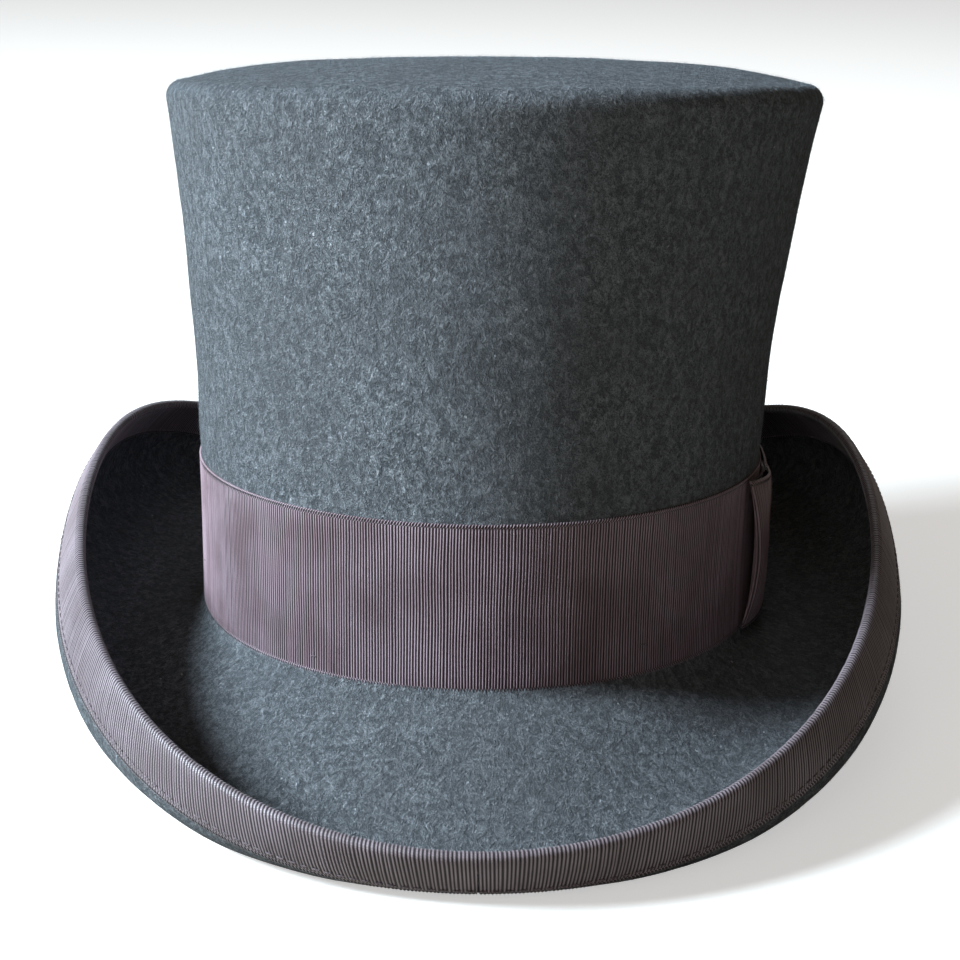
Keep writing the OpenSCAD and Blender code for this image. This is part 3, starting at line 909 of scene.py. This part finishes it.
BINDING_WIDTH = 2 * BINDING_SIDE + EDGE_ARC
side_rows = ribbon_profile(BINDING_WIDTH, 0)
lip = side_rows[:7]
flat_rows = [(w, 1.0, 0.0, 1.0) for w in (4.5, 8.0, 11.5)]
fold_rows = [(BINDING_SIDE + EDGE_ARC * s, 1.0, 0.0, 1.0) for s in (0.001, 0.25, 0.5, 0.75, 0.999)]
flat_back = [(BINDING_WIDTH - w, *rest) for w, *rest in flat_rows[::-1]]
binding_profile = lip + flat_rows + fold_rows + flat_back + side_rows[-7:]
binding = lay_ribbon("brim_binding", on_rim, BINDING_RIBS, binding_profile, BINDING_PITCH * 1000,
                     RIB, seed=21, slant=0.035, wander=0.35)
edit(binding, sew)
smooth(binding)
dress(binding, binding_ribbon, "brim_binding")
print("binding: faces", len(binding.data.polygons))

# %% [markdown]
# ## Stitches
#
# One stitch is a short thread that dips into the cloth at both ends. We model it once from a low
# sphere of eight by seven faces, stretched and bowed, and then copy it to every place in turn.
# All the stitches of a row become one piece.


# %% One stitch, and a row of copies
def stitch_shape(length, thick):
    only_none()
    bpy.ops.mesh.primitive_uv_sphere_add(segments=8, ring_count=7, radius=0.5)
    seed_obj = bpy.context.object
    edit(seed_obj, lambda: bpy.ops.transform.rotate(value=math.pi / 2, orient_axis="Y",
                                                    center_override=(0, 0, 0)))
    co = np.array([v.co for v in seed_obj.data.vertices])
    faces = [tuple(f.vertices) for f in seed_obj.data.polygons]
    bpy.data.objects.remove(seed_obj)
    co[:, 0] = np.sign(co[:, 0]) * 0.5 * np.sin(np.abs(co[:, 0]) * math.pi)
    dip = (2 * co[:, 0]) ** 4 * 0.3
    return np.stack([co[:, 0] * length, co[:, 1] * thick, (co[:, 2] - dip) * thick], -1), faces


def stitch_row(name, places, length, thick):
    """places are (middle, along, out) rows in metres, where along and out are unit directions."""
    shape, faces = stitch_shape(length, thick)
    verts, all_faces = [], []
    for middle, way, out in places:
        side = np.cross(out, way)
        start = len(verts)
        verts += (middle + MM * (shape[:, :1] * way + shape[:, 1:2] * side + shape[:, 2:] * out)).tolist()
        all_faces += [tuple(start + i for i in f) for f in faces]
    row = mesh_object(name, verts, all_faces)
    smooth(row)
    dress(row, thread_material, name)


def unit(v):
    return v / np.linalg.norm(v, axis=-1, keepdims=True)


# %% The row that holds the binding, and the tacks on the band
STITCH = 2.2
THREAD = 0.4
STITCH_LINE = BINDING_SIDE - 2.6
stitch_turn, stitch_run = even_turns(
    lambda t: brim(t, rail_lengths(t), STITCH_LINE, np.full(t.shape, FELT + 0.7))
)
STITCH_COUNT = int(stitch_run / 0.0033)


def under_brim(share, off):
    t = stitch_turn(share)
    return brim(t, rail_lengths(t), STITCH_LINE, np.full(t.shape, FELT + off))


middles = (np.arange(STITCH_COUNT) + 0.5) / STITCH_COUNT
here = under_brim(middles, 0.72)
ways = unit(under_brim(middles + 0.0005, 0.72) - under_brim(middles - 0.0005, 0.72))
outs = unit(under_brim(middles, 2.0) - here)
stitch_row("binding_stitches", list(zip(here, ways, outs)), STITCH, THREAD)
TACKS = ((-165, 15), (-122, 5), (-58, 9), (60, 8), (125, 9))
tack_places = []
for turn, high in TACKS:
    t = np.array([turn - 0.5, turn, turn + 0.5])
    p = wall(0.66, BAND_FOOT + high, t)
    out = unit(wall(3.0, BAND_FOOT + high, t)[1] - p[1])
    tack_places.append((p[1], unit(p[2] - p[0]), out))
stitch_row("band_tacks", tack_places, STITCH, THREAD)
print("stitches:", STITCH_COUNT, "and", len(TACKS), "tacks")

# %% [markdown]
# ## The bow
#
# The flat bow on the wearer's left is one length of the ribbon that goes out and back in two
# loops, with a second length strapped round its waist. The front fold of each loop stands a few
# millimetres off the band and comes close to it at the top and bottom borders. Near the strap the
# ribbon is gathered into small pleats. Solidify gives it a real thickness, because its
# inside shows from the front.


# %% The path of the loops
BOW_LENGTH = 84.0
BOW_HEIGHT = 44.0
BOW_WAIST = 35.0
BOW_NEAR = 2.0
BOW_STAND = 3.4
BOW_PLACE = -4.0
BAND_OUT = GAP + RIBBON_THICK
BOW_MIDDLE = BAND_FOOT + BAND_HEIGHT / 2


def on_band(length, off, height):
    return wall(BAND_OUT + off, BOW_MIDDLE + height,
                BOW_PLACE + np.degrees(length / HALF_LENGTH))


def even_loop(point, middle, thick, start=0.0):
    """Evens out a path round a closed loop. Returns its place function and its length."""
    steps = np.linspace(0, 2 * math.pi, 721) + start
    run = run_along(point(steps, 0.0, middle))
    return (lambda share, off, across: point(np.interp(share, run / run[-1], steps),
                                             off - thick / 2, across)), float(run[-1])


def bow_path(lay, length, full, waist, near, stand, thick, pleat):
    """A place function for lay_ribbon that runs once round both loops of a bow."""
    def point(a, off, across):
        c, s = np.cos(a), np.sin(a)
        row = 2 * across / full - 1
        tall = (waist + (full - waist) * np.abs(c) ** 0.7) / 2
        bulge = 1 - 0.75 * c**2 * row**2
        stood = near + stand * c**2 + s * (1.5 * thick + 0.8 * stand * c**2)
        gather = pleat * np.exp(-((c / 0.42) ** 2)) * np.sin(row * 10.5 + 0.8) * np.sign(s)
        ripple = 0.35 * pleat * c**2 * np.sin(row * 4 + 3 * c) * np.clip(s, 0, 1)
        body_off = bulge * stood + np.where(s > 0, gather + ripple, 0)
        return lay(length / 2 * c + off * c, body_off + off * s, tall * row)

    return even_loop(point, full / 2, thick)


# %% Fold the bow's ribbon
def finish_ribbon(obj, material, replaced, thick):
    edit(obj, sew)
    apply_modifier(obj, "SOLIDIFY", thickness=thick * MM, offset=-1.0, use_even_offset=False)
    smooth(obj, 60)
    dress(obj, material, replaced)


loops_place, loops_length = bow_path(on_band, BOW_LENGTH, BOW_HEIGHT, BOW_WAIST, BOW_NEAR, BOW_STAND,
                                     RIBBON_THICK, 0.55)
bow = lay_ribbon("bow_loops", loops_place, int(loops_length / BAND_PITCH),
                 ribbon_profile(BOW_HEIGHT, 15), BAND_PITCH * 1000, RIB, seed=31, thick=0.5)
finish_ribbon(bow, bow_ribbon, "bow_loops", 0.3)
print("bow ribbon:", round(loops_length, 3), "m, faces", len(bow.data.polygons))


# %% The strap round its waist
def strap_path(lay, width, waist, near, far, thick):
    middle, half = (near + far) / 2, (far - near) / 2

    def point(a, off, across):
        c, s = np.cos(a), np.sin(a)
        out = (half + off) * s * np.minimum(1, 2.4 * np.abs(s) + 0.35)
        tall = (waist / 2 + 0.6 + off) * np.sign(c) * np.abs(c) ** 0.35
        crease = 0.12 * np.sin(across / width * 9.4) * np.clip(s, 0, 1)
        return lay(np.broadcast_to(across - width / 2, c.shape), middle + out + crease, tall)

    return even_loop(point, width / 2, thick, start=math.pi / 2)


WRAP_WIDTH = 13.0
wrap_place, wrap_length = strap_path(on_band, WRAP_WIDTH, BOW_WAIST, GAP + RIBBON_THICK / 2,
                                     2 * BOW_NEAR + 0.3, RIBBON_THICK)
wrap = lay_ribbon("bow_wrap", wrap_place, int(wrap_length / BAND_PITCH), ribbon_profile(WRAP_WIDTH, 5),
                  BAND_PITCH * 1000, RIB, seed=41, thick=0.5, wander=0.1)
finish_ribbon(wrap, wrap_ribbon, "bow_wrap", 0.3)
print("strap:", round(wrap_length, 3), "m, faces", len(wrap.data.polygons))

# %% [markdown]
# ## Inside: the sweatband
#
# A strip of leather stands inside the opening, and a thin cord stiffens its lower edge. Zigzag
# stitches join it to the felt, and a small ribbon bow covers the seam at the back.


# %% Leather band and its cord
SWEAT_FOOT = 2.6
SWEAT_HEIGHT = 52.0
SWEAT_OUT = -2.75
SWEAT_IN = -3.85
leather_turns = around(216)


def leather_wave(h):
    """The leather is a little wavy towards its free upper edge."""
    share = max(0.0, (h - SWEAT_FOOT) / SWEAT_HEIGHT)
    return 0.25 * share * np.sin(np.radians(leather_turns) * 7) * np.sin(np.radians(leather_turns) * 3)


def leather_face(off, heights):
    return [wall(off - np.abs(leather_wave(h)), h, leather_turns) for h in heights]


shares = np.concatenate([[0.004, 0.02], np.linspace(0.06, 0.94, 14), [0.98, 0.996]])
heights = SWEAT_FOOT + SWEAT_HEIGHT * shares
SWEAT_MIDDLE = (SWEAT_OUT + SWEAT_IN) / 2
leather_rows = leather_face(SWEAT_OUT, heights)
leather_rows += [wall(SWEAT_MIDDLE, SWEAT_FOOT + SWEAT_HEIGHT, leather_turns)]
leather_rows += leather_face(SWEAT_IN, heights[::-1])
leather_rows += [wall(SWEAT_MIDDLE, SWEAT_FOOT, leather_turns), leather_rows[0]]
leather = lay_grid("sweatband", leather_rows)
edit(leather, sew, face_out)
smooth(leather, 50)
dress(leather, leather_material, "sweatband")


def wall_tube(name, height, off, radius, material, sides=12, twist=0):
    """A round cord along the wall. twist makes a two-strand rope of it."""
    t = around(720 if twist else 216)
    rows = []
    for k in range(sides + 1):
        a = 2 * math.pi * k / sides
        r = radius * (1 - 0.16 * (1 - np.abs(np.sin(a + np.radians(t) * twist)))) if twist else radius
        rows.append(wall(off + r * math.cos(a), height + r * math.sin(a), t))
    tube = lay_grid(name, rows)
    edit(tube, sew, face_out)
    smooth(tube)
    dress(tube, material, name)


wall_tube("sweatband_reed", SWEAT_FOOT - 0.95, -3.15, 0.9, leather_material)
ZIGZAG = 96
ZIGZAG_STITCH = 3.2
zigzag_places = []
for k in range(ZIGZAG):
    t = np.array([k - 0.3, k, k + 0.3]) * 360 / ZIGZAG
    lean = 0.8 if k % 2 else -0.8
    p = wall(SWEAT_IN - 0.25, SWEAT_FOOT + 3 + np.array([-lean, 0, lean]), t)
    away = unit(wall(SWEAT_IN - 3, SWEAT_FOOT + 3, t)[1] - wall(SWEAT_IN, SWEAT_FOOT + 3, t)[1])
    zigzag_places.append((p[1], unit(p[2] - p[0]), away))
stitch_row("sweatband_stitches", zigzag_places, ZIGZAG_STITCH, THREAD)
print("sweatband:", len(leather.data.polygons), "faces,", ZIGZAG, "stitches")

# %% The small bow at the back, and the blank label


def on_sweatband(length, off, height):
    return wall(SWEAT_IN - off, SWEAT_FOOT + 13 + height, 90 - np.degrees(length / HALF_WIDTH))


little_place, little_length = bow_path(on_sweatband, 30, 9, 6.5, 1.0, 1.5, 0.3, 0.12)
little = lay_ribbon("sweatband_bow", little_place, int(little_length / SMALL_PITCH),
                    ribbon_profile(9, 4, 0.8), 0.7, 0.08, seed=51, thick=0.3, wander=0.05)
finish_ribbon(little, small_ribbon, "sweatband_bow", 0.15)
tiny_place, tiny_length = strap_path(on_sweatband, 4.5, 6.5, GAP + 0.15, 2.15, 0.3)
tiny = lay_ribbon("sweatband_bow_wrap", tiny_place, int(tiny_length / SMALL_PITCH),
                  ribbon_profile(4.5, 1, 0.5), 0.7, 0.08, seed=61, thick=0.3, wander=0.02)
finish_ribbon(tiny, small_ribbon, "sweatband_bow_wrap", 0.15)

LABEL_WIDE, LABEL_TALL = 20, 13
label_turns = 62 + np.degrees(np.linspace(-0.5, 0.5, 61) * LABEL_WIDE / HALF_WIDTH)


def label_row(up, off):
    border = 0.12 * (1 + np.sin(np.arange(61) * 2.1)) * (abs(up) > 0.42)
    ends = 0.12 * (np.abs(np.linspace(-1, 1, 61)) > 0.93)
    return wall(SWEAT_IN - 0.08 - off - (border + ends) * (off > 0.1), SWEAT_FOOT + SWEAT_HEIGHT * 0.62
                + up * LABEL_TALL, label_turns)


ups = np.linspace(-0.5, 0.5, 41)
label = lay_grid("size_label", [label_row(u, 0.22) for u in ups])
edit(label, sew)
apply_modifier(label, "SOLIDIFY", thickness=0.0002, offset=1.0)
edit(label, face_out)
smooth(label, 50)
dress(label, label_material, "size_label")
print("little bow:", round(little_length, 4), "m of ribbon")

# %% [markdown]
# ## Inside: the satin lining
#
# A strip of satin is tucked behind the leather and runs up the crown, eased in with soft gathers. A
# corded seam joins it to an oval of satin that hangs a little under the tip. Gathers are
# waves that grow between the two seams and fade at each of them.

# %% Lining wall, cord and tip
LINING_TUCK = 12
LINING_SPACE = 3
LINING_FOOT = SWEAT_FOOT + SWEAT_HEIGHT - LINING_TUCK
LINING_TOP = CROWN_HEIGHT - LINING_SPACE
SATIN = 0.4
SATIN_SHELL = 0.0003
CORD = 1.2
satin_turns = around(720)


def lining_off(h):
    return GAP + LINING_SPACE * min(1, max(0, (h - LINING_FOOT - LINING_TUCK - 3) / (2 * LINING_TUCK)))


def gathers(h):
    free = max(0.0, (h - LINING_FOOT - 14) / (LINING_TOP - LINING_FOOT - 14))
    r = np.radians(satin_turns)
    folds = np.sin(r * 40 + 2.2 * np.sin(r * 5) + 1.5 * free) + 0.5 * np.sin(r * 71 + 3 * np.sin(r * 3))
    return 0.75 * free**0.8 * (folds * 0.5 + 0.6)


satin_rows = []
for h in np.linspace(LINING_FOOT, LINING_TOP - 1.25, 40):
    pinch = min(1.0, (LINING_TOP - h) / 8 + 0.25)
    satin_rows.append(wall(-FELT - lining_off(h) - SATIN / 2 - gathers(h) * pinch, h, satin_turns))
lining = lay_grid("lining_wall", satin_rows)
edit(lining, sew, turn_over)
apply_modifier(lining, "SOLIDIFY", thickness=SATIN_SHELL, offset=0.0)
smooth(lining)
dress(lining, satin_material, "lining_wall")
wall_girth = girth(wall(-5.0, 100.0, satin_turns))

wall_tube("lining_piping", LINING_TOP, -FELT - LINING_SPACE - CORD, CORD, satin_material,
          twist=90)
TIP_EDGE = -FELT - LINING_SPACE - 2 * CORD - 2 * GAP
tip_rim = wall(TIP_EDGE, LINING_TOP, around(288))
tip_middle = tip_rim.mean(0)
tip_rows = []
for s in np.concatenate([[0.0], np.linspace(0.03, 1, 40)]):
    r = np.radians(around(288))
    pucker = 0.0004 * s**6 * np.sin(r * 48 + 2 * np.sin(5 * r)) * (s < 1)
    sag = -0.0035 * (1 - s**2) + pucker
    tip_rows.append(tip_middle + (tip_rim - tip_middle) * s
                    + np.stack([0 * r, 0 * r, np.zeros_like(r) + sag], -1))
lining_tip = lay_grid("lining_tip", tip_rows)
edit(lining_tip, sew)
apply_modifier(lining_tip, "SOLIDIFY", thickness=SATIN_SHELL, offset=0.0)
edit(lining_tip, face_out)
smooth(lining_tip)
dress(lining_tip, satin_material, "lining_tip")

# %% [markdown]
# ## Stage, light and camera
#
# A pale floor, one large soft light from the left, a weak warm fill in front, a weak one behind and a
# dim room: the brim's hollow then falls into shade as it does on a table by a window. The floor glows a
# little, but only to the camera, so that it stays pale to its far edge. The camera looks from a little
# above the brim with a long lens, so that the crown's sides stay nearly parallel.

# %% Stage
only_none()
bpy.ops.mesh.primitive_plane_add(size=6)
floor = bpy.context.object
floor.name = "floor"
floor_material, tree, shader = new_material("pale floor")
straight = node(tree, "LightPath").outputs["Is Camera Ray"]
feed(tree, shader, Base_Color=mix_colours(tree, straight, (0.38, 0.34, 0.29), (0.74, 0.71, 0.68)),
     Roughness=0.9, Specular_IOR_Level=0.1, Emission_Strength=0.55,
     Emission_Color=mix_colours(tree, straight, (0, 0, 0), (0.93, 0.93, 0.93)))
floor.data.materials.append(floor_material)


def add_light(name, place, target, size, power, tint):
    only_none()
    bpy.ops.object.light_add(type="AREA", location=place)
    lamp = bpy.context.object
    lamp.name = name
    lamp.data.shape = "DISK"
    lamp.data.size = size
    lamp.data.energy = power
    lamp.data.color = tint
    lamp.rotation_euler = (Vector(target) - Vector(place)).to_track_quat("-Z", "Y").to_euler()


add_light("key", (-1.48, -0.37, 1.08), (0, 0, 0.09), 0.75, 121, (0.75, 0.90, 1.0))
add_light("front", (-0.5, -1.6, 0.9), (0, 0, 0.09), 1.0, 4, (1.0, 0.94, 0.87))
add_light("back", (0.3, 1.5, 1.2), (0, 0, 0.12), 0.9, 3, (0.95, 0.97, 1.0))

bpy.context.scene.view_settings.view_transform = "Standard"
world = bpy.data.worlds.new("room")
bpy.context.scene.world = world
world.use_nodes = True
world_tree = world.node_tree
world_tree.nodes.clear()
world_out = world_tree.nodes.new("ShaderNodeOutputWorld")
seen = node(world_tree, "Background", Color=(0.93, 0.93, 0.93, 1), Strength=1.0)
room = node(world_tree, "Background", Color=(1.0, 0.82, 0.62, 1), Strength=0.1)
mixed = world_tree.nodes.new("ShaderNodeMixShader")
world_tree.links.new(node(world_tree, "LightPath").outputs["Is Camera Ray"], mixed.inputs[0])
world_tree.links.new(room.outputs[0], mixed.inputs[1])
world_tree.links.new(seen.outputs[0], mixed.inputs[2])
world_tree.links.new(mixed.outputs[0], world_out.inputs[0])

# %% Camera
LOOK_DISTANCE, LOOK_TURN, LOOK_UP, LOOK_ROLL = 680.0, -0.15, 8.0, 0.45
LOOK_AT = np.array([0, 0, 75.0])
AIM_RIGHT, AIM_DOWN = 0.1, 39.0
LENS = 81.2
turn, up = math.radians(LOOK_TURN), math.radians(LOOK_UP)
toward = np.array([math.cos(up) * math.sin(turn), -math.cos(up) * math.cos(turn), math.sin(up)])
right = unit(np.cross(-toward, [0, 0, 1.0]))
above = np.cross(right, -toward)
roll = math.radians(LOOK_ROLL)
right, above = (right * math.cos(roll) + above * math.sin(roll),
                above * math.cos(roll) - right * math.sin(roll))
eye = LOOK_AT + LOOK_DISTANCE * toward
aim = LOOK_AT + right * AIM_RIGHT - above * AIM_DOWN
ahead = unit(aim - eye)
right = unit(np.cross(ahead, above))
above = np.cross(right, ahead)


def stood_way(v):
    return standing(*v) - standing(0, 0, 0)


axes = np.array([unit(stood_way(v)) for v in (right, above, -ahead)])
only_none()
bpy.ops.object.camera_add(location=tuple(standing(*eye)))
camera = bpy.context.object
camera.name = "camera"
camera.rotation_euler = Matrix([list(map(float, r)) for r in axes]).transposed().to_euler()
camera.data.lens = LENS
camera.data.sensor_width = 36
camera.data.clip_start = 0.01
bpy.context.scene.camera = camera
print("camera at", [round(v, 3) for v in camera.location])
